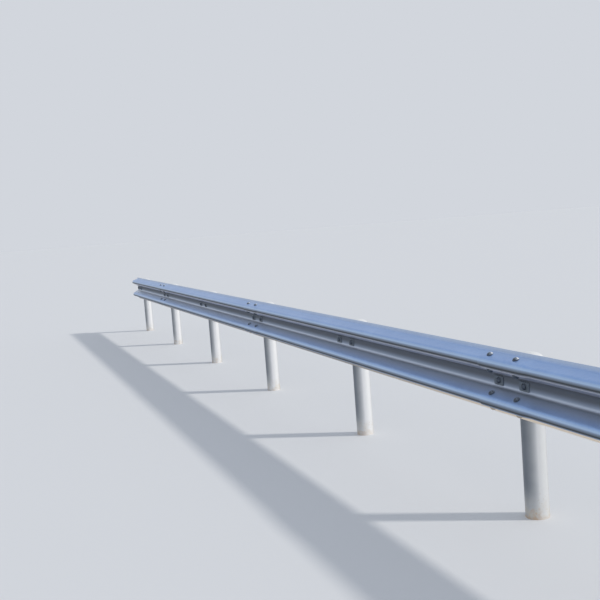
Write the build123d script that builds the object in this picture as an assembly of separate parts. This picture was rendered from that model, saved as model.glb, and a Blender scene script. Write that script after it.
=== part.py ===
"""Roadside guardrail, six bays long: a W-shaped steel rail on round posts.

The rail is four beams, lapped and bolted over every second post. Each post is a
pipe with a pressed cap, and carries the rail on a bent bracket that is bolted
through the pipe. X runs along the rail, Z is up, and the rail's front is on the -Y
side. The origin is at ground level, on the front wall of the middle post's foot.
"""
from build123d import *
import math
import os

# Layout along the rail
bay_length = 2000.0
bay_count = 6
first_beam_bays = 1
whole_beam_bays = 2

# Height of the rail's middle above ground, and how far the posts rise over it
beam_centre_height = 650.0
post_rise = 115.0

# Rail section, with radii inside the bends
beam_height = 310.0
beam_depth = 85.0
beam_sheet = 3.0
crest_spacing = 184.0
valley_flat = 30.0
bend_radius = 24.0
lip_bend_radius = 10.0
lip_length = 14.0
lip_angle = 10.0

# Lap, where the beam nearer +X is opened out to nest over the next one
bolt_column_spacing = 216.0
bolt_edge_distance = 52.0
nest_clearance = 0.3
nest_margin = 20.0
nest_taper_length = 60.0

# Slots in the rail, long way along X; those of the slopes are set out from the crests' bends
splice_slot_length = 28.0
splice_slot_width = 20.0
splice_slot_from_bend = 22.0
valley_slot_length = 50.0
valley_slot_width = 20.0

# Posts
post_diameter = 114.0
post_wall = 4.5
post_bolt_hole = 18.0

# Post caps
cap_sheet = 2.5
cap_clearance = 0.3
cap_skirt = 26.0
cap_chamfer = 4.0
cap_dome_radius = 98.0

# Brackets, bent from strip, with radii to the middle of the strip
beam_standoff = 38.0
bracket_length = 300.0
bracket_height = 70.0
bracket_strip = 4.5
bracket_clearance = 0.3
bracket_bend_radius = 12.0
saddle_angle = 38.0
flank_angle = 60.0
return_angle = 80.0
return_length = 12.0
bracket_slot_length = 30.0
bracket_slot_width = 20.0

# Bolts through bracket and post
bolt_diameter = 16.0
bolt_head_height = 10.0
bolt_across_flats = 24.0
nut_height = 14.8
washer_diameter = 30.0
washer_thickness = 3.0
bolt_tail = 4.0

# Places worked out from the sizes above
post_axis_y = (post_diameter - post_wall) / 2
post_front_y = post_axis_y - post_diameter / 2
beam_back_y = post_front_y - beam_standoff
beam_middle_y = beam_back_y - beam_sheet / 2
lap_length = bolt_column_spacing + 2 * bolt_edge_distance
nest_offset = beam_sheet + nest_clearance
post_height = beam_centre_height + post_rise
bend_middle = bend_radius + beam_sheet / 2
lip_bend_middle = lip_bend_radius + beam_sheet / 2
fold_depth = beam_depth - beam_sheet


def straight(length):
    """A flat stretch of bent sheet."""
    return (length, 0.0, 0.0)


def bend(radius, turn):
    """A bend of bent sheet, turning left where turn is positive."""
    return (0.0, radius, turn)


def along(angle):
    """Unit step in a direction given in degrees."""
    return (math.cos(math.radians(angle)), math.sin(math.radians(angle)))


def left_of(point, angle, distance):
    """The point at a distance to the left of a heading."""
    ahead = along(angle)
    return (point[0] - distance * ahead[1], point[1] + distance * ahead[0])


def take_step(point, angle, step, share=1.0):
    """Point and heading after a share of one stretch."""
    length, radius, turn = step
    if turn:
        side = math.copysign(radius, turn)
        centre = left_of(point, angle, side)
        new_angle = angle + turn * share
        return left_of(centre, new_angle, -side), new_angle
    ahead = along(angle)
    reach = length * share
    return (point[0] + reach * ahead[0], point[1] + reach * ahead[1]), angle


def side_edges(steps, point, angle, offset):
    """Edges that run beside the sheet's middle line at an offset to its left."""
    edges = []
    for step in steps:
        middle, middle_angle = take_step(point, angle, step, 0.5)
        end, end_angle = take_step(point, angle, step)
        corners = (
            left_of(point, angle, offset),
            left_of(middle, middle_angle, offset),
            left_of(end, end_angle, offset),
        )
        if step[2]:
            edges.append(ThreePointArc(*corners))
        else:
            edges.append(Line(corners[0], corners[2]))
        point, angle = end, end_angle
    return edges


def sheet_face(steps, point, angle, thickness, offset=0.0):
    """Closed outline of a bent sheet, drawn in the XY plane."""
    left = side_edges(steps, point, angle, offset + thickness / 2)
    right = side_edges(steps, point, angle, offset - thickness / 2)
    ends = [Line(left[0] @ 0, right[0] @ 0), Line(left[-1] @ 1, right[-1] @ 1)]
    return make_face(left + right + ends)


def mirrored_steps(half):
    """Both halves of a sheet that is alike on each side of its middle."""
    length, radius, turn = half[0]
    return half[:0:-1] + [(2 * length, radius, 2 * turn)] + half[1:]


def mirrored_start(half, middle):
    """Where a mirrored sheet starts, and its heading, from the half that ends it."""
    point, angle = middle, 0.0
    for step in half:
        point, angle = take_step(point, angle, step)
    return (-point[0], point[1]), -angle


def inner_side(slope):
    """Flat between valley and crest, and how high it takes the crest over the valley's middle."""
    rise = math.radians(slope)
    flat = (fold_depth - 2 * bend_middle * (1 - math.cos(rise))) / math.sin(rise)
    bends = 2 * bend_middle * math.sin(rise)
    return flat, valley_flat / 2 + bends + flat * math.cos(rise)


def outer_side(slope):
    """Flat between crest and lip, and how high it takes the lip's edge over the crest."""
    rise = math.radians(slope)
    lip = math.radians(lip_angle)
    lip_depth = lip_bend_middle * (math.cos(lip) - math.cos(rise)) + lip_length * math.sin(lip)
    flat = (fold_depth - bend_middle * (1 - math.cos(rise)) - lip_depth) / math.sin(rise)
    bends = bend_middle * math.sin(rise) + lip_bend_middle * (math.sin(rise) - math.sin(lip))
    edge = lip_length * math.cos(lip) + beam_sheet / 2 * math.sin(lip)
    return flat, bends + flat * math.cos(rise) + edge


def closing_slope(side, height):
    """Slope at which one side of a fold comes out at its height."""
    low, high = 30.0, 89.0
    for _ in range(60):
        middle = (low + high) / 2
        if side(middle)[1] > height:
            low = middle
        else:
            high = middle
    return middle


# Rail section, from the valley's middle to the lip
inner_slope = closing_slope(inner_side, crest_spacing / 2)
outer_slope = closing_slope(outer_side, (beam_height - crest_spacing) / 2)
inner_flat = inner_side(inner_slope)[0]
outer_flat = outer_side(outer_slope)[0]
section_half = [
    straight(valley_flat / 2),
    bend(bend_middle, inner_slope),
    straight(inner_flat),
    bend(bend_middle, -inner_slope - outer_slope),
    straight(outer_flat),
    bend(lip_bend_middle, outer_slope - lip_angle),
    straight(lip_length),
]
section_steps = mirrored_steps(section_half)
section_start, section_heading = mirrored_start(section_half, (0.0, 0.0))


def section_plane(x):
    """Plane across the rail, drawn upwards, with the front on its left."""
    return Plane(origin=(x, beam_middle_y, beam_centre_height), x_dir=(0, 0, 1), z_dir=(1, 0, 0))


def section_face(x, offset=0.0):
    """Rail section at x, opened out to the front by an offset."""
    return section_plane(x) * sheet_face(section_steps, section_start, section_heading, beam_sheet, offset)


def slot_cutter(plane, length, width, reach):
    """Solid that cuts a slot along the plane's X direction."""
    return extrude(plane * SlotOverall(length, width), amount=reach, both=True)


def sheet_flats():
    """Middle and heading of every flat of the rail section."""
    point, angle = section_start, section_heading
    flats = []
    for step in section_steps:
        if not step[2]:
            flats.append(take_step(point, angle, step, 0.5))
        point, angle = take_step(point, angle, step)
    return flats


def splice_cutters(x):
    """Slots through the four slopes of the rail at one bolt column."""
    lower_outer, lower_inner, _, upper_inner, upper_outer = sheet_flats()[1:-1]
    outer_shift = outer_flat / 2 - splice_slot_from_bend
    inner_shift = inner_flat / 2 - splice_slot_from_bend
    slopes = [
        (lower_outer, outer_shift),
        (lower_inner, -inner_shift),
        (upper_inner, inner_shift),
        (upper_outer, -outer_shift),
    ]
    cutters = []
    for (middle, angle), shift in slopes:
        ahead = along(angle)
        up = middle[0] + shift * ahead[0]
        out = middle[1] + shift * ahead[1]
        plane = Plane(
            origin=(x, beam_middle_y - out, beam_centre_height + up),
            x_dir=(1, 0, 0),
            z_dir=(0, -ahead[0], -ahead[1]),
        )
        cutters.append(slot_cutter(plane, splice_slot_length, splice_slot_width, 3 * beam_sheet))
    return cutters


def valley_cutter(x):
    """Slot through the rail's valley for a bolt of the bracket's wing."""
    plane = Plane(origin=(x, beam_middle_y, beam_centre_height), x_dir=(1, 0, 0), z_dir=(0, -1, 0))
    return slot_cutter(plane, valley_slot_length, valley_slot_width, 3 * beam_sheet)


def post_x(index):
    """Place of a post along the rail, counted from the +X end."""
    return (bay_count / 2 - index) * bay_length


def bolt_columns(index):
    """The two bolt columns at a post."""
    return [post_x(index) + side * bolt_column_spacing / 2 for side in (-1, 1)]


def beam_spans():
    """First and last post of each beam, from the +X end."""
    spans = [(0, first_beam_bays)]
    while spans[-1][1] < bay_count:
        start = spans[-1][1]
        spans.append((start, min(start + whole_beam_bays, bay_count)))
    return spans


def make_beam(first, last):
    """One beam of the rail, opened out at its -X end where another follows."""
    right = post_x(first) + lap_length / 2
    left = post_x(last) - lap_length / 2
    if last < bay_count:
        nest_end = left + lap_length + nest_margin
        taper_end = nest_end + nest_taper_length
        beam = extrude(section_face(taper_end), amount=right - taper_end)
        beam += loft([section_face(nest_end, nest_offset), section_face(taper_end)], ruled=True)
        beam += extrude(section_face(left, nest_offset), amount=nest_end - left)
    else:
        beam = extrude(section_face(left), amount=right - left)
    cutters = []
    for index in range(first, last + 1):
        for x in bolt_columns(index):
            cutters.append(valley_cutter(x))
            if index in (first, last):
                cutters += splice_cutters(x)
    return beam - cutters


def make_post(index):
    """One pipe post, open at its foot, with a hole for its bolt."""
    wall = Circle(post_diameter / 2) - Circle(post_diameter / 2 - post_wall)
    post = extrude(wall, amount=post_height)
    post -= Pos(0, 0, beam_centre_height) * Rot(X=90) * Cylinder(post_bolt_hole / 2, 2 * post_diameter)
    return Pos(post_x(index), post_axis_y, 0) * post


def make_cap(index):
    """Domed, pressed cap, whose chamfer inside seats on the post's rim."""
    outside = post_diameter / 2 + cap_clearance + cap_sheet
    shoulder = outside - cap_chamfer
    chamfer_foot = cap_skirt + cap_sheet * math.tan(math.radians(22.5))
    shoulder_z = chamfer_foot + cap_chamfer
    dome_angle = math.degrees(math.asin(shoulder / cap_dome_radius))
    dome_centre_z = shoulder_z - cap_dome_radius * math.cos(math.radians(dome_angle))
    dome = CenterArc((0, dome_centre_z), cap_dome_radius, 90 - dome_angle, dome_angle)
    side = Polyline((shoulder, shoulder_z), (outside, chamfer_foot), (outside, 0), (0, 0), dome @ 1)
    blank = revolve(Plane.XZ * make_face([dome, side]), axis=Axis.Z)
    cap = offset(blank, amount=-cap_sheet, openings=blank.faces().sort_by(Axis.Z)[0])
    return Pos(post_x(index), post_axis_y, post_height - cap_skirt) * cap


def make_bracket(index):
    """Bent strip that hugs the post and carries the rail on its two wings."""
    saddle_radius = post_diameter / 2 + bracket_clearance + bracket_strip / 2
    radius = bracket_bend_radius
    turn = math.radians(saddle_angle)
    flank = math.radians(flank_angle)
    back = math.radians(return_angle)
    saddle_y = post_axis_y - saddle_radius
    wing_y = beam_back_y + bracket_strip / 2
    # The flank makes up what the bends leave of the way from the saddle out to the wing
    saddle_drop = (saddle_radius + radius) * (1 - math.cos(turn))
    flank_rise = saddle_y + saddle_drop - wing_y - 2 * radius * (1 - math.cos(flank))
    flank_length = flank_rise / math.sin(flank)
    wing_start = (saddle_radius + radius) * math.sin(turn) + 2 * radius * math.sin(flank)
    wing_start += flank_length * math.cos(flank)
    return_reach = radius * math.sin(back) + return_length * math.cos(back)
    return_reach += bracket_strip / 2 * math.sin(back)
    wing_length = bracket_length / 2 - return_reach - wing_start
    half = [
        bend(saddle_radius, saddle_angle),
        bend(radius, -saddle_angle - flank_angle),
        straight(flank_length),
        bend(radius, flank_angle),
        straight(wing_length),
        bend(radius, return_angle),
        straight(return_length),
    ]
    start, heading = mirrored_start(half, (0.0, saddle_y))
    face = sheet_face(mirrored_steps(half), start, heading, bracket_strip)
    bracket = extrude(face, amount=bracket_height / 2, both=True)
    bracket -= Pos(0, saddle_y, 0) * Rot(X=90) * Cylinder(post_bolt_hole / 2, 4 * bracket_strip)
    for side in (-1, 1):
        plane = Plane(origin=(side * bolt_column_spacing / 2, wing_y, 0), x_dir=(1, 0, 0), z_dir=(0, -1, 0))
        bracket -= slot_cutter(plane, bracket_slot_length, bracket_slot_width, bracket_strip)
    return Pos(post_x(index), 0, beam_centre_height) * bracket


def make_post_bolt(index):
    """Hexagon bolt through bracket and post, with its washer and nut behind."""
    seat_y = post_front_y - bracket_clearance - bracket_strip
    back_y = post_front_y + post_diameter
    nut_y = back_y + washer_thickness
    tail_y = nut_y + nut_height + bolt_tail
    hexagon = RegularPolygon(bolt_across_flats / 2, 6, major_radius=False)

    def along_y(y):
        return Plane(origin=(0, y, 0), x_dir=(1, 0, 0), z_dir=(0, 1, 0))

    bolt = extrude(along_y(seat_y - bolt_head_height) * hexagon, amount=bolt_head_height)
    bolt += extrude(along_y(seat_y) * Circle(bolt_diameter / 2), amount=tail_y - seat_y)
    bolt += extrude(along_y(back_y) * Circle(washer_diameter / 2), amount=washer_thickness)
    bolt += extrude(along_y(nut_y) * hexagon, amount=nut_height)
    return Pos(post_x(index), 0, beam_centre_height) * bolt


def write(name, shape):
    """Write one piece under its node name."""
    shape.label = name
    export_step(shape, f"parts/{name}.step")
    print(name, len(shape.solids()), round(shape.volume))


# Write every piece
os.makedirs("parts", exist_ok=True)

for number, (first, last) in enumerate(beam_spans(), start=1):
    write(f"rail_beam_{number}", make_beam(first, last))

for index in range(bay_count + 1):
    write(f"post_{index + 1}", make_post(index))
    write(f"post_cap_{index + 1}", make_cap(index))
    write(f"bracket_{index + 1}", make_bracket(index))
    write(f"post_bolt_{index + 1}", make_post_bolt(index))
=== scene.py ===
# %% [markdown]
# A highway guardrail section, dressed for its picture
#
# The rail, posts, caps, brackets and through bolts come from the construction
# model, at their real size and in their real place. This script adds what is
# too small for that model, the bolts and washers that hold the rail together,
# and gives every surface the look of hot-dip galvanised steel that has stood
# outdoors for some years. X runs along the rail, Z is up, and the rail's front
# looks to -Y. All lengths are in metres.

# %% Load the construction model
import bpy
import bmesh
import math
from mathutils import Matrix, Vector


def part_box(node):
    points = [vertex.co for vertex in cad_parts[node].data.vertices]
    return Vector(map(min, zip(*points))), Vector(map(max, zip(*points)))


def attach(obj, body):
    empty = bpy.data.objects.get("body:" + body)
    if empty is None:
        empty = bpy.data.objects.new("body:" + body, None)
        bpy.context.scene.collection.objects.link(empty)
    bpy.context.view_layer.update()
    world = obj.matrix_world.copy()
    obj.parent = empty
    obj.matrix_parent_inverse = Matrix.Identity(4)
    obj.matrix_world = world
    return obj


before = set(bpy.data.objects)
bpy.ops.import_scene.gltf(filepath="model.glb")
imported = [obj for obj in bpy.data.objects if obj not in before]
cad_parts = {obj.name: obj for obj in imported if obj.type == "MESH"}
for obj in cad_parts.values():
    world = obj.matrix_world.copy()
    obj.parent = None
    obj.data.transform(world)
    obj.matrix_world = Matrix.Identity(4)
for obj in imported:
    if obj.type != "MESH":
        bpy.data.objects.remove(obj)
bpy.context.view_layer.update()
MM = 0.001
print("nodes from the construction model:", len(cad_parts))

# %% [markdown]
# Reading places from the model
#
# A bolt has to sit where its slot is. The boxes of the posts and beams say
# where the bays and laps are, and a ray shot at the plain rail says where each
# slope lies and which way it faces. Only the sheet's thickness, the rows'
# heights and the spacing of the columns are typed in, as the model has them.

# %% Places of posts, rail and laps
post_names = sorted(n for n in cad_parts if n.startswith("post_") and n[5:].isdigit())
beam_names = sorted(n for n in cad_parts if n.startswith("rail_beam_"))
cap_names = sorted(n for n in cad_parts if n.startswith("post_cap_"))
bracket_names = sorted(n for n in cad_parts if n.startswith("bracket_"))
post_bolt_names = sorted(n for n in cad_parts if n.startswith("post_bolt_"))

post_x = {n: sum(corner.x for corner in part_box(n)) / 2 for n in post_names}
beam_boxes = {n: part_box(n) for n in beam_names}
last_beam = beam_names[-1]
rail_low, rail_high = beam_boxes[last_beam]
rail_z = (rail_low.z + rail_high.z) / 2
rail_front_y = rail_low.y


def beams_at(x):
    """Names of the beams that cover a place along the rail."""
    return [n for n, (low, high) in beam_boxes.items() if low.x < x < high.x]


lap_posts = [n for n in post_names if len(beams_at(post_x[n])) == 2]
print("rail middle at", round(rail_z, 4), "laps at", [round(post_x[n], 2) for n in lap_posts])

# %% Seats of the slots
beam_sheet = 3.0 * MM
nest_gap = 0.3 * MM
nest_offset = beam_sheet + nest_gap
column_spacing = 216.0 * MM
outer_row = 122.63 * MM
inner_row = 58.90 * MM
slope_rows = (outer_row, inner_row, -inner_row, -outer_row)
ray_run_up = 100.0 * MM
clear_of_post = 500.0 * MM
probe_x = post_x[post_names[-1]] + clear_of_post


def hit_from_front(name, x, height):
    """Where a ray from the front meets a beam and the way the sheet faces there, or None."""
    start = Vector((x, rail_front_y - ray_run_up, rail_z + height))
    hit, point, normal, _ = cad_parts[name].ray_cast(start, Vector((0, 1, 0)))
    return (point, normal) if hit else None


def slope_seat(height):
    """Point in the middle of the plain rail's sheet, at a height over its middle, and the way it faces."""
    point, normal = hit_from_front(last_beam, probe_x, height)
    middle_y = point.y - beam_sheet / 2 / normal.y
    return Vector((0, middle_y, rail_z + height)), normal.normalized()


seats = {height: slope_seat(height) for height in slope_rows}
for height, (middle, normal) in seats.items():
    faces = tuple(round(v, 3) for v in normal)
    print("slot row at", round(height / MM, 1), "sheet at y", round(middle.y / MM, 2), "faces", faces)

# %% [markdown]
# Mushroom-head bolts and their nuts
#
# Each lap is held by eight short bolts with mushroom heads, set square to the
# slopes. Their smooth round heads let a sliding wheel pass, and the nuts sit
# behind. A ready-made bolt could be copied in, but a bolt is a turned thing, so
# it is made here as a lathe would make it: a list of rings, each a radius and a
# height, joined by faces. The nut is the same kind of skin, but its rings
# follow a hexagon, and the 30 degree chamfer of a real nut is worked out point
# by point, which gives its scalloped edges. The thread could be left to the
# finish, but its end stands out behind the nut, so it is cut as a true helix.

# %% Rings and skins
TURN = 2 * math.pi
sharp_from = math.radians(28)


def skin(bm, loops, close_first=True, close_last=True):
    """Join loops of points by faces, and close the ends with a fan round their middle."""
    rows = [[bm.verts.new(point) for point in loop] for loop in loops]
    count = len(rows[0])
    for lower, upper in zip(rows, rows[1:]):
        for i in range(count):
            j = (i + 1) % count
            bm.faces.new((lower[i], lower[j], upper[j], upper[i]))
    for wanted, row, loop in ((close_first, rows[0][::-1], loops[0]), (close_last, rows[-1], loops[-1])):
        if wanted:
            middle = bm.verts.new(sum(loop, Vector()) / count)
            for i in range(count):
                bm.faces.new((row[i], row[(i + 1) % count], middle))


def ring(place, radius, height, sides=40):
    """A round loop of points across a place's Z axis."""
    angles = [TURN * i / sides for i in range(sides)]
    return [place @ Vector((radius * math.cos(a), radius * math.sin(a), height)) for a in angles]


def turned(bm, place, profile):
    """A closed turned solid from (radius, height) pairs, listed from its lower end."""
    skin(bm, [ring(place, radius, height) for radius, height in profile])


def washer(bm, place, inner, outer, low, high):
    """A round washer with softened edges, a closed ring."""
    soft = 0.4 * MM
    profile = [
        (inner, low), (outer - soft, low), (outer, low + soft),
        (outer, high - soft), (outer - soft, high), (inner, high), (inner, low),
    ]
    skin(bm, [ring(place, radius, height) for radius, height in profile], False, False)


def finish_mesh(bm, name, body="root"):
    """Turn the worked mesh into a piece that rides on the frame, smooth but for its real edges."""
    bmesh.ops.remove_doubles(bm, verts=bm.verts, dist=0.01 * MM)
    bmesh.ops.recalc_face_normals(bm, faces=bm.faces)
    mesh = bpy.data.meshes.new(name)
    bm.to_mesh(mesh)
    bm.free()
    mesh.polygons.foreach_set("use_smooth", [True] * len(mesh.polygons))
    mesh.set_sharp_from_angle(angle=sharp_from)
    piece = bpy.data.objects.new(name, mesh)
    bpy.context.scene.collection.objects.link(piece)
    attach(piece, body)
    return piece


# %% Sizes of bolt, nut and washer
shank_radius = 8.0 * MM
thread_pitch = 2.0 * MM
thread_depth = 1.1 * MM
head_radius = 15.5 * MM
head_rim = 3.5 * MM
head_height = 11.5 * MM
rim_soft = 0.5 * MM
nut_flats = 24.0 * MM
nut_height = 13.5 * MM
nut_chamfer = math.radians(30)
nut_points = 48
nut_face_share = 0.96
lead_in = 1.0 * MM
back_washer_radius = 15.0 * MM
back_washer_thick = 3.0 * MM
back_washer_play = 0.7 * MM
print("head", 2 * head_radius / MM, "mm wide, nut", nut_flats / MM, "mm over its flats")


# %% Nut, head and thread
def mushroom_head(bm, place):
    """A low domed head that sits at height 0, with a thin rolled rim."""
    rise = head_height - head_rim
    dome_edge = head_radius - rim_soft
    dome_radius = (dome_edge ** 2 + rise ** 2) / (2 * rise)
    tilt = math.asin(dome_edge / dome_radius)
    profile = [(head_radius - 0.7 * MM, 0.0), (head_radius, 0.6 * MM), (head_radius, head_rim - 0.3 * MM)]
    steps = 9
    for i in range(steps):
        angle = tilt * (1 - i / steps)
        height = head_rim + rise - dome_radius * (1 - math.cos(angle))
        profile.append((dome_radius * math.sin(angle), height))
    turned(bm, place, profile)


def hex_nut(bm, place, low):
    """A chamfered hexagon nut standing on a height, both its ends scalloped by the chamfer cone."""
    high = low + nut_height
    chamfer_radius = nut_flats / 2 * nut_face_share
    slope = math.tan(nut_chamfer)
    half_side = TURN / 12
    angles = [TURN * i / nut_points for i in range(nut_points)]
    edge = [nut_flats / 2 / math.cos((a + half_side) % (2 * half_side) - half_side) for a in angles]
    drop = [max(0.0, (r - chamfer_radius) * slope) for r in edge]

    def hex_loop(base, sign):
        """The hexagon's edge, dropped from a face by the chamfer."""
        rows = zip(angles, edge, drop)
        return [place @ Vector((r * math.cos(a), r * math.sin(a), base + sign * d)) for a, r, d in rows]

    def round_loop(radius, height):
        """A round loop with as many points as the hexagon's."""
        return ring(place, radius, height, nut_points)

    bore = shank_radius - 0.2 * MM
    mouth = shank_radius + 0.9 * MM
    loops = [
        round_loop(bore, low + lead_in), round_loop(mouth, low), round_loop(chamfer_radius, low),
        hex_loop(low, 1), hex_loop(high, -1),
        round_loop(chamfer_radius, high), round_loop(mouth, high), round_loop(bore, high - lead_in),
        round_loop(bore, low + lead_in),
    ]
    skin(bm, loops, False, False)


def threaded_shank(bm, place, start, end, thread_end):
    """A shank from start down to end, with a true helix cut into it up to thread_end."""
    sides = 24
    row_step = thread_pitch / 4
    loops = [ring(place, shank_radius, start, sides), ring(place, shank_radius, thread_end, sides)]
    rows = int((thread_end - end) / row_step)
    for row in range(1, rows + 1):
        height = thread_end - row * row_step
        # The thread fades in over three rows, and out again just before the end.
        runout = min(1.0, row / 3) * min(1.0, (height - end) / MM + 0.2)
        loop = []
        for i in range(sides):
            angle = TURN * i / sides
            phase = (height / thread_pitch + i / sides) % 1.0
            radius = shank_radius - thread_depth * abs(2 * phase - 1) * runout
            loop.append(place @ Vector((radius * math.cos(angle), radius * math.sin(angle), height)))
        loops.append(loop)
    loops.append(ring(place, shank_radius - thread_depth, end, sides))
    skin(bm, loops[::-1])


def facing(point, normal):
    """A place at a point whose Z axis is a normal that lies square to X."""
    along = Vector((1, 0, 0))
    return Matrix.Translation(point) @ Matrix((along, normal.cross(along), normal)).transposed().to_4x4()


def bolt_set(bm, place, grip, length):
    """Head at height 0, then shank, back washer and nut behind the sheets it grips."""
    mushroom_head(bm, place)
    washer_back = -grip - back_washer_thick
    washer(bm, place, shank_radius + back_washer_play, back_washer_radius, washer_back, -grip)
    hex_nut(bm, place, washer_back - nut_height)
    threaded_shank(bm, place, 0.0, -length, -grip)


# %% [markdown]
# Splice bolts, each where its slot let it
#
# The slots are longer than the bolts are thick, so that a lap goes together
# even if a hole is a little off. A real bolt then sits anywhere along its slot.
# All of them could be put in the middle, but a row of bolts that is too even
# looks drawn, so most of them lie a few millimetres off, by values chosen to
# bring the picture nearer to the photograph.

# %% Splice bolts at the laps
splice_length = 32.0 * MM
splice_grip = beam_sheet + nest_offset
slot_play = {
    outer_row: (-5.0 * MM, -5.0 * MM), inner_row: (0.0, 0.0),
    -inner_row: (5.0 * MM, -1.0 * MM), -outer_row: (-2.0 * MM, 3.0 * MM),
}
splice_bolts = []
for number, post in enumerate(lap_posts, 1):
    bm = bmesh.new()
    for height in slope_rows:
        middle, normal = seats[height]
        front = middle + normal * (nest_offset + beam_sheet / 2)
        for side, play in zip((-1, 1), slot_play[height]):
            spot = Vector((post_x[post] + side * column_spacing / 2 + play, front.y, front.z))
            bolt_set(bm, facing(spot, normal), splice_grip, splice_length)
    piece = finish_mesh(bm, f"splice_bolts_{number}")
    splice_bolts.append(piece)
print("splice bolt pieces:", len(splice_bolts), "faces in one:", len(splice_bolts[0].data.polygons))

# %% [markdown]
# Plate washers in the valley
#
# At each post two more bolts pass through the valley of the rail into the wings
# of the bracket. Their slots are long, so that the rail can shift as it warms,
# and a stout plate washer spans each one, pressed to the valley's curve. It
# could be drawn from that curve's radius, but where beams lap the front lies a
# sheet further forward. So its back is found here by rays shot at the rail, and
# it can't float or cut in.

# %% Wing bolts and their washers
plate_length = 76.0 * MM
plate_width = 44.0 * MM
plate_thick = 4.0 * MM
plate_corner = 7.0 * MM
plate_soft = 0.6 * MM
wing_length = 45.0 * MM
wing_play = (0.0, -6.0 * MM)
behind_wing_y = 20.0 * MM
clear_of_slot = 30.0 * MM


def front_y(x, height):
    """Where the foremost sheet lies at a place on the rail's front."""
    hits = [hit_from_front(name, x, height) for name in beams_at(x)]
    return min(point.y for point, _ in filter(None, hits))


def plate_outline(steps=16):
    """Points (along, up) round an oblong, with some steps in each rounded corner."""
    half = Vector((plate_length / 2 - plate_corner, plate_width / 2 - plate_corner))
    points = []
    for corner, (sx, sz) in enumerate(((1, 1), (-1, 1), (-1, -1), (1, -1))):
        for step in range(steps):
            angle = TURN / 4 * (corner + step / (steps - 1))
            along = sx * half.x + plate_corner * math.cos(angle)
            up = sz * half.y + plate_corner * math.sin(angle)
            points.append(Vector((along, up)))
    return points


outline = plate_outline()
hole_radius = shank_radius * 1.15
hole = [hole_radius * point.normalized() for point in outline]
print("plate washer:", len(outline), "points round its edge")


def plate_washer(bm, x, post):
    """A plate washer whose back lies on the valley and whose front follows it."""
    valley = {}

    def loop(share, lift, inset=0.0):
        """Points between hole and outline, lifted from the rail's front."""
        points = []
        for inner, outer in zip(hole, outline):
            spot = inner.lerp(outer - outer.normalized() * inset, share)
            key = round(spot.y, 6)
            if key not in valley:
                valley[key] = front_y(post_x[post], spot.y)
            points.append(Vector((x + spot.x, valley[key] - lift, rail_z + spot.y)))
        return points

    shares = [0.0, 0.2, 0.4, 0.6, 0.8, 1.0]
    loops = [loop(share, 0.0, plate_soft) for share in shares]
    loops += [loop(1.0, plate_soft), loop(1.0, plate_thick - plate_soft)]
    loops += [loop(share, plate_thick, plate_soft) for share in reversed(shares)]
    loops.append(loop(0.0, 0.0, plate_soft))
    skin(bm, loops, False, False)


# %% Plates and wing bolts at every post
wing_bolts = []
plate_washers = []
for number, (post, bracket) in enumerate(zip(post_names, bracket_names), 1):
    valley_y = front_y(post_x[post], 0.0)
    plate_front_y = valley_y - plate_thick
    bolts = bmesh.new()
    plates = bmesh.new()
    for side, play in zip((-1, 1), wing_play):
        x = post_x[post] + side * column_spacing / 2 + play
        back_start = Vector((x, behind_wing_y, rail_z + clear_of_slot))
        _, back, _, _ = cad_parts[bracket].ray_cast(back_start, Vector((0, -1, 0)))
        grip = back.y - plate_front_y
        plate_washer(plates, x, post)
        seat = facing(Vector((x, plate_front_y, rail_z)), Vector((0, -1, 0)))
        bolt_set(bolts, seat, grip, wing_length)
    piece = finish_mesh(bolts, f"wing_bolts_{number}")
    wing_bolts.append(piece)
    piece = finish_mesh(plates, f"plate_washers_{number}")
    plate_washers.append(piece)
    measured = [round(v / MM, 2) for v in (valley_y, back.y, grip)]
    print(post, "valley, back of the wing and grip in mm:", measured)

# %% [markdown]
# The camera
#
# The view is from the front, near the right end, at eye height and slightly
# tilted. The camera's place, direction and focal length were found by fitting
# the edges of the posts, the long lines of the rail and, at half weight, the
# bolts to the photograph, for posts 2 m apart and a rail 310 mm high. So they
# are as true as those sizes are.

# %% Camera
camera_place = Vector((7.574, -2.318, 1.468))
camera_yaw = math.radians(-70.52)
camera_pitch = math.radians(-4.96)
camera_roll = math.radians(-4.28)

camera_data = bpy.data.cameras.new("photo_camera")
camera_data.lens = 54.21
camera_data.sensor_width = 36.0
camera_data.clip_end = 300.0
camera = bpy.data.objects.new("photo_camera", camera_data)
bpy.context.scene.collection.objects.link(camera)

ahead = Vector((
    math.sin(camera_yaw) * math.cos(camera_pitch),
    math.cos(camera_yaw) * math.cos(camera_pitch),
    math.sin(camera_pitch),
))
level_right = Vector((math.cos(camera_yaw), -math.sin(camera_yaw), 0))
level_up = level_right.cross(ahead)
right = level_right * math.cos(camera_roll) + level_up * math.sin(camera_roll)
up = level_up * math.cos(camera_roll) - level_right * math.sin(camera_roll)
camera.matrix_world = Matrix.Translation(camera_place) @ Matrix((right, up, -ahead)).transposed().to_4x4()
bpy.context.scene.camera = camera
print("camera", tuple(round(v, 3) for v in camera_place), "lens", camera_data.lens)

# %% [markdown]
# One helper for nodes
#
# Every finish is a net of shader nodes. Each kind of node could have a function
# of its own, but one small function serves them all: it adds a node, sets what
# it is told to, and joins its inputs. A value that is itself a socket is linked,
# and anything else is written on the input. Colours are written as they look on
# a screen, and one function turns them to the linear values that shaders work in.

# %% Colours and nodes
def linear(hex_colour):
    """A written sRGB colour as the linear values that shaders work in."""
    parts = [int(hex_colour[i:i + 2], 16) / 255 for i in (1, 3, 5)]
    return tuple(c / 12.92 if c <= 0.04045 else ((c + 0.055) / 1.055) ** 2.4 for c in parts) + (1.0,)


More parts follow.
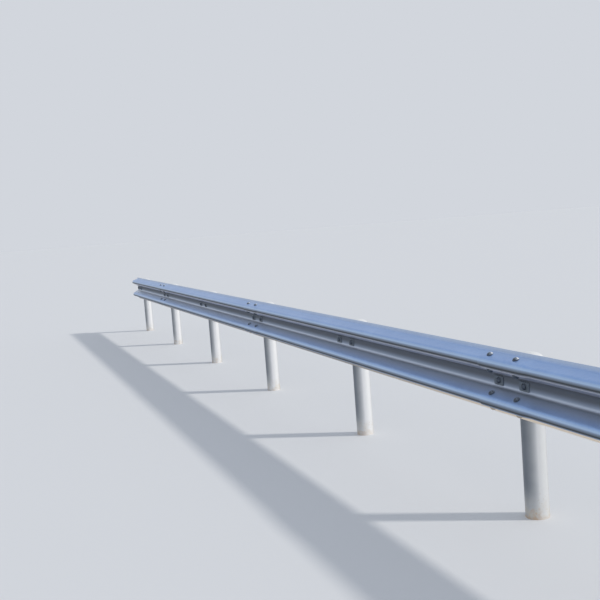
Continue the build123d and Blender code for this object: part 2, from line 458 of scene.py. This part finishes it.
def add(tree, kind, inputs=None, **settings):
    """Add a node with its settings, and link or write its inputs."""
    node = tree.nodes.new(kind)
    for name, value in settings.items():
        setattr(node, name, value)
    for name, value in (inputs or {}).items():
        socket = node.inputs[name]
        if isinstance(value, bpy.types.NodeSocket):
            tree.links.new(value, socket)
        else:
            socket.default_value = value
    return node


print("the rail's blue as linear:", tuple(round(v, 3) for v in linear("#8EB2E5")))

# %% [markdown]
# What weather leaves on zinc
#
# Fresh galvanised steel is bright and spangled. Outdoors each face then changes
# by the way it faces: rain rinses what looks up, and splash and dust stay on
# what looks down or forward. Light is painted in by the way each face turns as
# well: painted highlights on the crowns of the folds, painted shade and
# reflection below them. An image could be painted for that, but it would have
# to be stretched over every fold. Here each finish asks the surface itself for
# its place in metres and for the way it faces, so each mark falls where it
# would on the real rail, at its real size, from any side.

# %% Reading the surface
class Surface:
    """What a finish can read of the surface: place in metres, facing, and tilt."""

    def __init__(self, tree):
        source = add(tree, "ShaderNodeTexCoord")
        self.place = source.outputs["Object"]
        place = add(tree, "ShaderNodeSeparateXYZ", {0: self.place})
        faces = add(tree, "ShaderNodeSeparateXYZ", {0: source.outputs["Normal"]})
        self.x, self.y, self.z = place.outputs
        self.right, self.back, self.up = faces.outputs
        self.front = add(tree, "ShaderNodeMath", {0: self.back, 1: -1.0}, operation="MULTIPLY").outputs[0]
        self.tilt = add(tree, "ShaderNodeMath", {0: self.up, 1: self.front}, operation="ARCTAN2").outputs[0]


# %% Bands, overlaps and coats
def band(tree, value, rise=None, fall=None, smooth=True):
    """How far a value lies within a band whose sides rise and fall between two limits."""
    kind = "SMOOTHSTEP" if smooth else "LINEAR"
    sides = []
    for limits, ends in ((rise, (0.0, 1.0)), (fall, (1.0, 0.0))):
        if limits:
            inputs = {
                "Value": value, "From Min": limits[0], "From Max": limits[1],
                "To Min": ends[0], "To Max": ends[1],
            }
            sides.append(add(tree, "ShaderNodeMapRange", inputs, interpolation_type=kind).outputs[0])
    return overlap(tree, *sides)


def overlap(tree, *amounts):
    """Where all the amounts meet: their product."""
    result = amounts[0]
    for amount in amounts[1:]:
        result = add(tree, "ShaderNodeMath", {0: result, 1: amount}, operation="MULTIPLY").outputs[0]
    return result


def coats(tree, base, layers):
    """The colour after each layer (amount, colour) has been laid over those before."""
    colour = base
    for amount, over in layers:
        # The Mix node's sockets share their names, so they are taken by number.
        mixed = add(tree, "ShaderNodeMix", {0: amount, 6: colour, 7: over}, data_type="RGBA")
        colour = mixed.outputs[2]
    return colour


def levels(tree, base, layers):
    """The same for a plain value such as roughness."""
    value = base
    for amount, over in layers:
        value = add(tree, "ShaderNodeMix", {0: amount, 2: value, 3: over}).outputs[0]
    return value


def degrees_band(tree, value, rise, fall):
    """A band given in degrees, with straight sides."""
    in_radians = [tuple(math.radians(angle) for angle in side) if side else None for side in (rise, fall)]
    return band(tree, value, *in_radians, smooth=False)


# %% [markdown]
# Patterns in the zinc
#
# Four patterns make a zinc coat look real. Spangle is the frost of zinc
# crystals, about 12 mm across on the sheet and 9 mm on the pipes, each with its
# own tone, and Voronoi cells are just that. Dull patches, some 250 mm wide on
# the sheet and 90 mm on the pipes, come from uneven cooling. Long lines run
# along the rail, drawn by the rolls that formed it, so their noise is stretched
# along X. The real ones are under 1 mm wide, too fine to show, and are drawn
# 6 mm wide. Runs go down, where rain carries dust. Each pattern's scale is one
# over its size in metres.

# %% Zinc patterns
def spangle(tree, surface, crystal):
    """A tone from 0 to 1 for each zinc crystal of a size in metres."""
    cells = add(tree, "ShaderNodeTexVoronoi", {"Vector": surface.place, "Scale": 1 / crystal})
    return add(tree, "ShaderNodeSeparateColor", {0: cells.outputs["Color"]}).outputs[0]


def cloud(tree, surface, size, stretch=(1.0, 1.0, 1.0), detail=3.0, spread=(0.35, 0.65)):
    """Noise from 0 to 1 with blots of a size in metres, drawn out along any axis by stretch."""
    scale = tuple(1 / (size * s) for s in stretch)
    place = add(tree, "ShaderNodeMapping", {"Vector": surface.place, "Scale": scale})
    noise = add(tree, "ShaderNodeTexNoise", {
        "Vector": place.outputs[0], "Scale": 1.0, "Detail": detail, "Roughness": 0.55,
    })
    return band(tree, noise.outputs[0], rise=spread)


# %% Worn edges and the closing shader
def worn_edges(tree, radius, grain):
    """Where real edges are rubbed: a rounded normal departs from the true one, broken up by a grain."""
    geometry = add(tree, "ShaderNodeNewGeometry")
    rounded = add(tree, "ShaderNodeBevel", {"Radius": radius}, samples=4)
    normals = {0: geometry.outputs["Normal"], 1: rounded.outputs[0]}
    agree = add(tree, "ShaderNodeVectorMath", normals, operation="DOT_PRODUCT")
    edge = band(tree, agree.outputs["Value"], fall=(0.80, 0.985))
    return overlap(tree, edge, grain)


def finish(tree, colour, metallic, roughness, height, depth, rain_gloss=0.0):
    """The closing shader of a finish: colour, shine, a relief of a depth in metres, and a glossy coat."""
    relief = add(tree, "ShaderNodeBump", {"Strength": 1.0, "Distance": depth, "Height": height})
    shader = add(tree, "ShaderNodeBsdfPrincipled", {
        "Base Color": colour, "Metallic": metallic, "Roughness": roughness, "Normal": relief.outputs[0],
        "Coat Weight": rain_gloss, "Coat Roughness": 0.3,
    })
    add(tree, "ShaderNodeOutputMaterial", {"Surface": shader.outputs[0]})


def new_finish(name):
    """An empty node material, its net, and what it can read of the surface."""
    material = bpy.data.materials.new(name)
    material.use_nodes = True
    tree = material.node_tree
    tree.nodes.clear()
    return material, tree, Surface(tree)


# %% [markdown]
# The rail's finish
#
# The rail is hot-dip galvanised sheet: rolled cold to its W, then sunk in molten
# zinc. Clean zinc is neutral and takes its blue from the sky above it. This
# plain sky has next to none, so the front's blue is a painted reflection of the
# sky, put in the colour itself. A blue sky would do it too, but would tint the
# floor and the posts as well. Zinc is a metal, so metallic is close to 1 where
# it is clean, and roughness starts at 0.4. The layers go on in order, marks of
# weather and painted light alike, and this first step finds where each belongs.

# %% Galvanised sheet: limits of its zones
# Each zone fades in or out between two limits. A height counts from the rail's
# middle, a reach counts forward from the posts' front wall, where Y is 0, and
# the last pair runs along the rail.
crown_reach = (98 * MM, 110 * MM)
valley_ends = (34 * MM, 42 * MM)
slope_starts = (24 * MM, 32 * MM)
slope_ends = (78 * MM, 94 * MM)
rain_reach = (60 * MM, 124 * MM)
lip_starts = (126 * MM, 150 * MM)
lip_reach = (50 * MM, 90 * MM)
valley_dark_from = (-30 * MM, 10 * MM)
bend_highlight_starts = (0.0, 10 * MM)
low_fold_starts = (-110 * MM, -104 * MM)
low_lip_starts = (-140 * MM, -134 * MM)
brighter_along = (1.6, 4.2)

# %% Galvanised sheet: where its layers belong
rail_zinc, tree, surface = new_finish("hot_dip_galvanised_sheet")

above_middle = add(tree, "ShaderNodeMath", {0: surface.z, 1: -rail_z}, operation="ADD").outputs[0]
off_middle = add(tree, "ShaderNodeMath", {0: above_middle}, operation="ABSOLUTE").outputs[0]
reach = add(tree, "ShaderNodeMath", {0: surface.y, 1: -1.0}, operation="MULTIPLY").outputs[0]

front_side = band(tree, surface.front, rise=(-0.02, 0.04))
back_side = band(tree, surface.front, fall=(0.03, 0.14))
on_crown = overlap(tree, front_side, band(tree, reach, rise=crown_reach))
in_valley = overlap(tree, front_side, band(tree, off_middle, fall=valley_ends))
inner_slopes = overlap(tree, front_side, band(tree, off_middle, rise=slope_starts, fall=slope_ends))

crystals = spangle(tree, surface, 12 * MM)
patches = cloud(tree, surface, 250 * MM)
drawn_lines = cloud(tree, surface, 6 * MM, stretch=(90.0, 1.0, 1.0), spread=(0.30, 0.70))
rain_runs = cloud(tree, surface, 18 * MM, stretch=(1.0, 6.0, 14.0), spread=(0.45, 0.75))

# A painted highlight along each crown, at a set tilt of the sheet.
painted_crown_highlight = overlap(tree, on_crown, degrees_band(tree, surface.tilt, (1, 17), (20, 46)))
# A dark band of painted shade and reflection below each crown.
crown_shade_tilt = degrees_band(tree, surface.tilt, (-60, -28), (-22, 16))
crown_shade_tilt = add(tree, "ShaderNodeMath", {0: crown_shade_tilt, 1: 1.4}, operation="POWER").outputs[0]
painted_crown_shade = overlap(tree, on_crown, crown_shade_tilt)
# Painted dimming on the nose of each crown, part of its reflected dark band.
painted_crown_dimming = overlap(tree, on_crown, degrees_band(tree, surface.tilt, (-46, -34), (2, 17)))
under_crown = degrees_band(tree, surface.tilt, None, (-56, -44))
# A thin painted highlight under the upper crown.
painted_bend_highlight = overlap(tree, on_crown, under_crown, band(tree, above_middle, rise=bend_highlight_starts))
# A painted highlight on the valley's lower bend.
painted_valley_highlight = overlap(tree, in_valley, degrees_band(tree, surface.tilt, (6, 22), (28, 44)))
# The upper valley darkens, partly grime and partly painted shade under the upper crown.
valley_grime_and_shade = overlap(tree, in_valley, band(tree, above_middle, rise=valley_dark_from))
looks_down = overlap(tree, inner_slopes, band(tree, surface.up, fall=(-0.3, -0.1)))
rain_side = band(tree, surface.up, rise=(0.4, 0.7))
looks_up = overlap(tree, inner_slopes, rain_side, band(tree, reach, fall=rain_reach))
# A painted highlight along the top and bottom lips.
lip_highlight = band(tree, off_middle, rise=lip_starts)
sky_side = band(tree, surface.up, rise=(0.80, 0.92))
# A lighter painted reflection of the sky on the faces that look up near the top lip.
painted_sky_near_lip = overlap(tree, sky_side, band(tree, reach, fall=lip_reach))
underside = band(tree, surface.up, fall=(-0.92, -0.72))
low_fold = overlap(tree, band(tree, above_middle, fall=low_fold_starts), underside)
low_lip = overlap(tree, front_side, band(tree, above_middle, fall=low_lip_starts))
# The lowest fold and bottom lip: a band of painted shade, then a pale painted reflection of the lit ground.
low_shade_band = add(tree, "ShaderNodeMath", {0: low_fold, 1: low_lip}, operation="MAXIMUM").outputs[0]
low_blotches = cloud(tree, surface, 35 * MM, stretch=(5.0, 1.0, 1.0), detail=4.0)
low_blotch_amount = levels(tree, 0.60, [(low_blotches, 0.95)])
toward_near_end = levels(tree, 0.30, [(band(tree, surface.x, rise=brighter_along), 1.0)])
print("places on the rail found with", len(tree.nodes), "nodes")

# %% [markdown]
# The rail's colours, coat by coat
#
# First comes the clean zinc, its blue a painted reflection of the sky, then what
# lies over it, the last coat on top: the plain grey of the back, a lighter
# painted sky near the top lip, painted highlights on the lips and the crowns,
# the grey of the inner slopes and the valley, a painted highlight on the
# valley's lower bend, an upper valley darkened partly by grime and partly by
# painted shade, a thin painted highlight under the upper crown, painted dimming
# and a dark band of painted shade below each crown, and on the lowest fold a
# band of painted shade under a pale painted reflection of the lit ground, which
# grows towards the near end. One painted image could hold all that. Coats are
# used because each can be moved or taken off without touching the rest.

# %% Galvanised sheet: colours
# The clean zinc's blue is a painted reflection of a blue sky.
zinc_with_painted_sky = coats(tree, linear("#8EB2E5"), [
    (overlap(tree, crystals, 0.22), linear("#AFC9F0")),
    (overlap(tree, patches, 0.30), linear("#7F9FD1")),
    (overlap(tree, drawn_lines, 0.06), linear("#BCD2F0")),
    (overlap(tree, rain_runs, front_side, 0.12), linear("#7996C4")),
])
bare_back = coats(tree, linear("#A9B1BB"), [
    (overlap(tree, patches, 0.45), linear("#8F97A2")),
    (overlap(tree, crystals, 0.25), linear("#C6CCD3")),
    (overlap(tree, rain_runs, 0.15), linear("#D3D5D6")),
])
rail_colour = coats(tree, zinc_with_painted_sky, [
    (back_side, bare_back),
    (overlap(tree, painted_sky_near_lip, 0.55), linear("#ADCDF7")),
    (overlap(tree, lip_highlight, 0.60), linear("#D0D8E0")),
    (overlap(tree, painted_crown_highlight, 0.75), linear("#BCD3EA")),
    (overlap(tree, looks_up, 0.85), linear("#B9C3CF")),
    (overlap(tree, looks_down, 0.85), linear("#BBB9C0")),
    (overlap(tree, in_valley, 0.75), linear("#A1A8B2")),
    (overlap(tree, painted_valley_highlight, 0.88), linear("#BDC8D8")),
    (overlap(tree, valley_grime_and_shade, 0.84), linear("#53575C")),
    (overlap(tree, painted_bend_highlight, 0.92), linear("#F6F1EE")),
    (overlap(tree, painted_crown_dimming, 0.80), linear("#A3ADBA")),
    (overlap(tree, painted_crown_shade, 0.97), linear("#383D3F")),
    # Painted shade on the low fold, under a pale painted reflection of the lit ground that grows towards the
    # near end.
    (overlap(tree, low_shade_band, 0.85), linear("#77787A")),
    (overlap(tree, low_fold, low_blotch_amount, toward_near_end), linear("#DFCEB6")),
    (overlap(tree, low_lip, toward_near_end), linear("#FFF1DE")),
])
print("colours laid on, now", len(tree.nodes), "nodes")

# %% [markdown]
# The rail's edges, corners and shine
#
# The sheet's edges are rubbed pale where beams slid over each other, and the
# gaps round bolts and laps are darkened with painted shade. A rounded normal
# finds the edges and ambient occlusion the gaps, so neither is set out in an
# image. Where the dark bands and the low fold are painted, the surface is
# rougher and less of a metal. What rain has washed gets a thin glossy coat.

# %% Galvanised sheet: edges, dirt and shine
cut_edges = worn_edges(tree, 1.5 * MM, band(tree, patches, fall=(0.2, 1.4)))
# Where the painted shade below the crowns and the valley's grime and shade lie.
shade_and_grime = add(tree, "ShaderNodeMath", {0: valley_grime_and_shade, 1: painted_crown_shade}, operation="MAXIMUM").outputs[0]
# Ambient occlusion darkens the gaps round bolts and laps: painted shade.
crevice = add(tree, "ShaderNodeAmbientOcclusion", {"Distance": 14 * MM}, samples=6)
painted_crevice_shade = overlap(tree, front_side, band(tree, crevice.outputs["AO"], fall=(0.35, 0.80)), 0.55)
rail_colour = coats(tree, rail_colour, [
    (painted_crevice_shade, linear("#31373F")),
    (overlap(tree, cut_edges, 0.55), linear("#DDE2E8")),
])
rail_metallic = levels(tree, 0.92, [(shade_and_grime, 0.50), (low_shade_band, 0.15), (painted_crevice_shade, 0.3)])
rail_roughness = levels(tree, 0.40, [
    (overlap(tree, patches, 0.5), 0.50), (overlap(tree, crystals, 0.4), 0.34),
    (shade_and_grime, 0.62), (low_shade_band, 0.75),
])
washed = band(tree, surface.up, rise=(0.05, 0.45))
finish(tree, rail_colour, rail_metallic, rail_roughness, crystals, 0.06 * MM, overlap(tree, washed, 0.45))
print("rail finish:", len(tree.nodes), "nodes")

# %% [markdown]
# The posts' finish
#
# The posts are steel pipe, galvanised after cutting. A pipe's thicker zinc
# weathers to a chalky pale grey, so it is only half a metal to the eye, with
# roughness a little over 0.5. The front, which faces away from the sun, gets
# painted shade, which thins to a third of itself in the lowest 180 mm, the back
# is painted a little darker, the side towards +X gets a painted highlight, and
# the two nearest posts are dusty. Dried mud has splashed up from the ground: an
# ochre crust up to about 80 mm high, mostly on the front and strongest on those
# two posts, a thin wash to 130 mm, and single specks to 220 mm. A mask painted
# by hand would give the same, but for one post only. Here noise makes each
# post's stain different.

# %% Galvanised pipe: limits of its zones
# Heights count from the ground, and the last pair runs along the rail. Mud is
# full below the first limit of crust_fade and gone above the second, both
# counted from the crust's own ragged edge, and it stands eight times as proud
# as the spangle.
front_shade_thins = (0.0, 180 * MM)
crust_lowest = 12 * MM
crust_climb = 70 * MM
crust_fade = (-36 * MM, 10 * MM)
wash_fades = (0.0, 130 * MM)
specks_fade = (50 * MM, 220 * MM)
speck_spacing = 14 * MM
nearest_two = (2.4, 3.8)
mud_relief = 8.0

# %% Galvanised pipe: where its layers belong
post_zinc, tree, surface = new_finish("galvanised_pipe")

crystals = spangle(tree, surface, 9 * MM)
patches = cloud(tree, surface, 90 * MM)
runs = cloud(tree, surface, 12 * MM, stretch=(1.0, 1.0, 16.0), spread=(0.42, 0.72))
# Painted shade on the front, which faces away from the sun, weaker in the lowest 180 mm.
front_shade_by_height = levels(tree, 0.35, [(band(tree, surface.z, rise=front_shade_thins), 1.0)])
painted_front_shade = overlap(tree, band(tree, surface.front, rise=(0.30, 1.04), smooth=False), front_shade_by_height)
# A painted highlight on the side of each post that faces +X.
painted_sunny_side = band(tree, surface.right, rise=(0.62, 0.97))
# The back is painted a little darker, painted shade that keeps the highlight off the edge.
painted_dim_back = band(tree, surface.back, rise=(0.35, 0.95))
near_dust = band(tree, surface.x, rise=nearest_two)
edge_wear = worn_edges(tree, 3 * MM, patches)

crust_fine = cloud(tree, surface, 30 * MM, detail=5.0, spread=(0.30, 0.70))
crust_broad = cloud(tree, surface, 90 * MM, spread=(0.38, 0.60))
crust_edge = {0: overlap(tree, crust_fine, crust_broad), 1: crust_climb, 2: crust_lowest}
crust_height = add(tree, "ShaderNodeMath", crust_edge, operation="MULTIPLY_ADD").outputs[0]
over_crust = add(tree, "ShaderNodeMath", {0: surface.z, 1: crust_height}, operation="SUBTRACT").outputs[0]
crust_front = levels(tree, 0.25, [(band(tree, surface.front, rise=(0.10, 0.70)), 1.0)])
crust_near = levels(tree, 0.45, [(near_dust, 1.0)])
crust = overlap(tree, band(tree, over_crust, fall=crust_fade), crust_front, crust_near)
thin_mud = cloud(tree, surface, 50 * MM, detail=5.0, spread=(0.30, 0.75))
wash = overlap(tree, band(tree, surface.z, fall=wash_fades), thin_mud)
specks = add(tree, "ShaderNodeTexVoronoi", {"Vector": surface.place, "Scale": 1 / speck_spacing})
spots = band(tree, specks.outputs["Distance"], fall=(0.16, 0.24))
speck = overlap(tree, spots, band(tree, surface.z, fall=specks_fade))
print("places on the posts found with", len(tree.nodes), "nodes")

# %% [markdown]
# The posts' colours and shine
#
# The same order as on the rail: the coat, its wear, the painted highlight and
# shade, then the mud on top. Mud is no metal and very rough, and it stands a
# little proud. It could be a skin of its own, but at less than 1 mm the relief
# of the finish is enough.

# %% Galvanised pipe: colours and shine
post_colour = coats(tree, linear("#EAEBEB"), [
    (overlap(tree, crystals, 0.20), linear("#F2F2F2")),
    (overlap(tree, patches, 0.35), linear("#CBCED0")),
    (overlap(tree, runs, 0.25), linear("#F4F4F3")),
    (overlap(tree, edge_wear, 0.6), linear("#EDEEEE")),
    (overlap(tree, painted_dim_back, 0.55), linear("#C6CACE")),
    (overlap(tree, painted_sunny_side, 0.70), linear("#FDFDFD")),
    (overlap(tree, near_dust, 0.32), linear("#BFC2C2")),
    (overlap(tree, painted_front_shade, 0.95), linear("#69717B")),
    (overlap(tree, wash, 0.50), linear("#D9C9AE")),
    (overlap(tree, speck, 0.22), linear("#B59C74")),
    (overlap(tree, crust, 0.70), linear("#C9A67E")),
])
dry = add(tree, "ShaderNodeMath", {0: crust, 1: speck}, operation="MAXIMUM").outputs[0]
post_metallic = levels(tree, 0.55, [(painted_front_shade, 0.35), (dry, 0.0)])
post_roughness = levels(tree, 0.52, [(overlap(tree, patches, 0.6), 0.62), (dry, 0.92)])
proud = {0: dry, 1: mud_relief, 2: crystals}
post_height = add(tree, "ShaderNodeMath", proud, operation="MULTIPLY_ADD").outputs[0]
finish(tree, post_colour, post_metallic, post_roughness, post_height, 0.08 * MM)
print("post finish:", len(tree.nodes), "nodes")

# %% [markdown]
# Caps, brackets, bolts and washers
#
# The caps are pressed from thin sheet before they are dipped, and their domes
# get a near-white painted highlight where they face up and towards the sun. The
# brackets are bent flat bar, shaded by the rail. Bolts, nuts and washers are
# dipped in baskets and spun while hot: their zinc is thin, dull and slightly
# grainy, darker than the rail, with a painted highlight on the side that faces
# the sun and painted shade on the side away from it. The bolts' grain is really
# too fine to show, and is drawn 2.5 mm wide. From the valley down the painted
# highlight is weaker, painted as shade of the top fold, and the lowest row of
# heads is dusty. The four differ in a few numbers only. Each could have its own
# net of nodes, but one function keeps them alike where they should be.

# %% Small galvanised pieces
fold_shade_ends = (rail_z + 20 * MM, rail_z + 80 * MM)
splash_starts = (rail_z - 115 * MM, rail_z - 100 * MM)


def small_zinc(name, tones, metallic, roughness, grain, depth, highlight_from, highlight_metal_share=1.0):
    """Galvanised finish of a small piece: a painted highlight where it faces up and towards the sun, painted
    shade on its front and underside.
    """
    base, bright, dark = tones
    material, tree, surface = new_finish(name)
    tone = spangle(tree, surface, grain)
    blots = cloud(tree, surface, 5 * grain, detail=4.0)
    edges = worn_edges(tree, 1.2 * MM, 0.9)
    # How far a face turns up and towards the sun: a painted highlight where it turns most, painted shade
    # where it turns away, weaker below the valley.
    sun_facing = surface.up
    for side, share in ((surface.back, 0.75), (surface.right, 0.45)):
        inputs = {0: side, 1: share, 2: sun_facing}
        sun_facing = add(tree, "ShaderNodeMath", inputs, operation="MULTIPLY_ADD").outputs[0]
    highlight_height = levels(tree, 0.45, [(band(tree, surface.z, rise=fold_shade_ends), 1.0)])
    painted_highlight = overlap(tree, band(tree, sun_facing, rise=highlight_from), highlight_height)
    splash = band(tree, surface.z, fall=splash_starts)
    painted_shade = band(tree, sun_facing, fall=(highlight_from[0] - 0.9, highlight_from[0]))
    colour = coats(tree, linear(base), [
        (overlap(tree, blots, 0.45), linear(dark)),
        (overlap(tree, tone, 0.20), linear(bright)),
        (overlap(tree, painted_shade, 0.75), linear(dark)),
        (overlap(tree, painted_highlight, 0.90), linear(bright)),
        (overlap(tree, edges, 0.35), linear(bright)),
        (overlap(tree, splash, 0.80), linear("#CBBDA8")),
    ])
    rough = levels(tree, roughness, [
        (overlap(tree, blots, 0.6), roughness + 0.12), (edges, roughness - 0.12),
    ])
    metal = levels(tree, metallic, [(painted_highlight, metallic * highlight_metal_share), (splash, 0.2)])
    finish(tree, colour, metal, rough, tone, depth)
    print(name, len(tree.nodes), "nodes")
    return material


cap_zinc = small_zinc(
    "pressed_galvanised_cap", ("#D2D6DA", "#ECEEEF", "#A4ADB8"), metallic=0.45, roughness=0.50,
    grain=8 * MM, depth=0.05 * MM, highlight_from=(-0.1, 0.5),
)
bracket_zinc = small_zinc(
    "galvanised_flat_bar", ("#9CA8B6", "#C2CAD3", "#6C7682"), metallic=0.9, roughness=0.48,
    grain=10 * MM, depth=0.06 * MM, highlight_from=(0.3, 0.9),
)
bolt_zinc = small_zinc(
    "spun_galvanised_bolts", ("#8996A8", "#F8FAFC", "#2B3541"), metallic=0.85, roughness=0.42,
    grain=2.5 * MM, depth=0.04 * MM, highlight_from=(0.95, 1.2), highlight_metal_share=0.5,
)
plate_zinc = small_zinc(
    "spun_galvanised_plate", ("#8D97A3", "#BBC4CF", "#5A636D"), metallic=0.85, roughness=0.48,
    grain=4 * MM, depth=0.04 * MM, highlight_from=(0.5, 1.0),
)

# %% [markdown]
# Putting the finishes on
#
# The pieces of the construction model keep their meshes. Only their material
# slots are filled, so a finish can change without touching a shape. The bolts
# and washers made here get theirs in the same step.

# %% Putting the finishes on
finishes = [
    (beam_names, rail_zinc), (post_names, post_zinc), (cap_names, cap_zinc),
    (bracket_names, bracket_zinc), (post_bolt_names, bolt_zinc),
]
for names, material in finishes:
    for name in names:
        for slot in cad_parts[name].material_slots:
            slot.material = material
for piece in splice_bolts + wing_bolts:
    piece.data.materials.append(bolt_zinc)
for piece in plate_washers:
    piece.data.materials.append(plate_zinc)
print("finishes on", sum(len(names) for names, _ in finishes), "nodes")

# %% [markdown]
# Floor, sky and light
#
# A plain pale floor and an even pale sky keep the eye on the rail. Both are a
# light grey and not white, so that the pale posts and caps still stand out.
# Metal shows what is round it, so camera and glossy rays see the sky at full
# strength, while the light that falls on things is kept lower and leaves room
# for one soft sun. A picture of a real sky could light it all, but the metal
# would then show a place that isn't here. The sun stands behind the rail at 35
# degrees. It was set from the shadows in the photograph, and it lays the rail's
# shadow on the floor as a long band.

# %% Floor
floor_size = 160.0
floor_mesh = bpy.data.meshes.new("floor")
bm = bmesh.new()
bmesh.ops.create_grid(bm, x_segments=1, y_segments=1, size=floor_size)
bm.to_mesh(floor_mesh)
bm.free()
floor = bpy.data.objects.new("floor", floor_mesh)
bpy.context.scene.collection.objects.link(floor)
pale = bpy.data.materials.new("pale_floor")
pale.use_nodes = True
tree = pale.node_tree
tree.nodes.clear()
shader = add(tree, "ShaderNodeBsdfPrincipled", {"Base Color": linear("#DADDE1"), "Roughness": 0.95})
add(tree, "ShaderNodeOutputMaterial", {"Surface": shader.outputs[0]})
floor_mesh.materials.append(pale)
print("floor in metres:", tuple(round(side) for side in floor.dimensions[:2]))

# %% Sky and sun
fill_strength = 0.68
sun_strength = 1.9
sun_softness = math.radians(3.5)
sun_travel = Vector((-0.423, -0.703, -0.572))

world = bpy.data.worlds.new("pale_sky")
bpy.context.scene.world = world
world.use_nodes = True
tree = world.node_tree
tree.nodes.clear()
rays = add(tree, "ShaderNodeLightPath").outputs
seen = add(tree, "ShaderNodeMath", {0: rays["Is Camera Ray"], 1: rays["Is Glossy Ray"]}, operation="MAXIMUM")
seen = add(tree, "ShaderNodeMath", {0: seen.outputs[0], 1: rays["Is Transmission Ray"]}, operation="MAXIMUM")
fill = add(tree, "ShaderNodeBackground", {"Color": linear("#EAF0FA"), "Strength": fill_strength})
backdrop = add(tree, "ShaderNodeBackground", {"Color": linear("#D2D6DD"), "Strength": 1.0})
sky = add(tree, "ShaderNodeMixShader", {0: seen.outputs[0], 1: fill.outputs[0], 2: backdrop.outputs[0]})
add(tree, "ShaderNodeOutputWorld", {"Surface": sky.outputs[0]})

sun_data = bpy.data.lights.new("sun", "SUN")
sun_data.energy = sun_strength
sun_data.color = linear("#FFF8EE")[:3]
sun_data.angle = sun_softness
sun = bpy.data.objects.new("sun", sun_data)
bpy.context.scene.collection.objects.link(sun)
sun.rotation_euler = sun_travel.to_track_quat("-Z", "Y").to_euler()
bpy.context.scene.view_settings.view_transform = "Standard"
sun_share = sun_strength * -sun_travel.normalized().z / math.pi
print("light on a level face:", round(fill_strength + sun_share, 2))
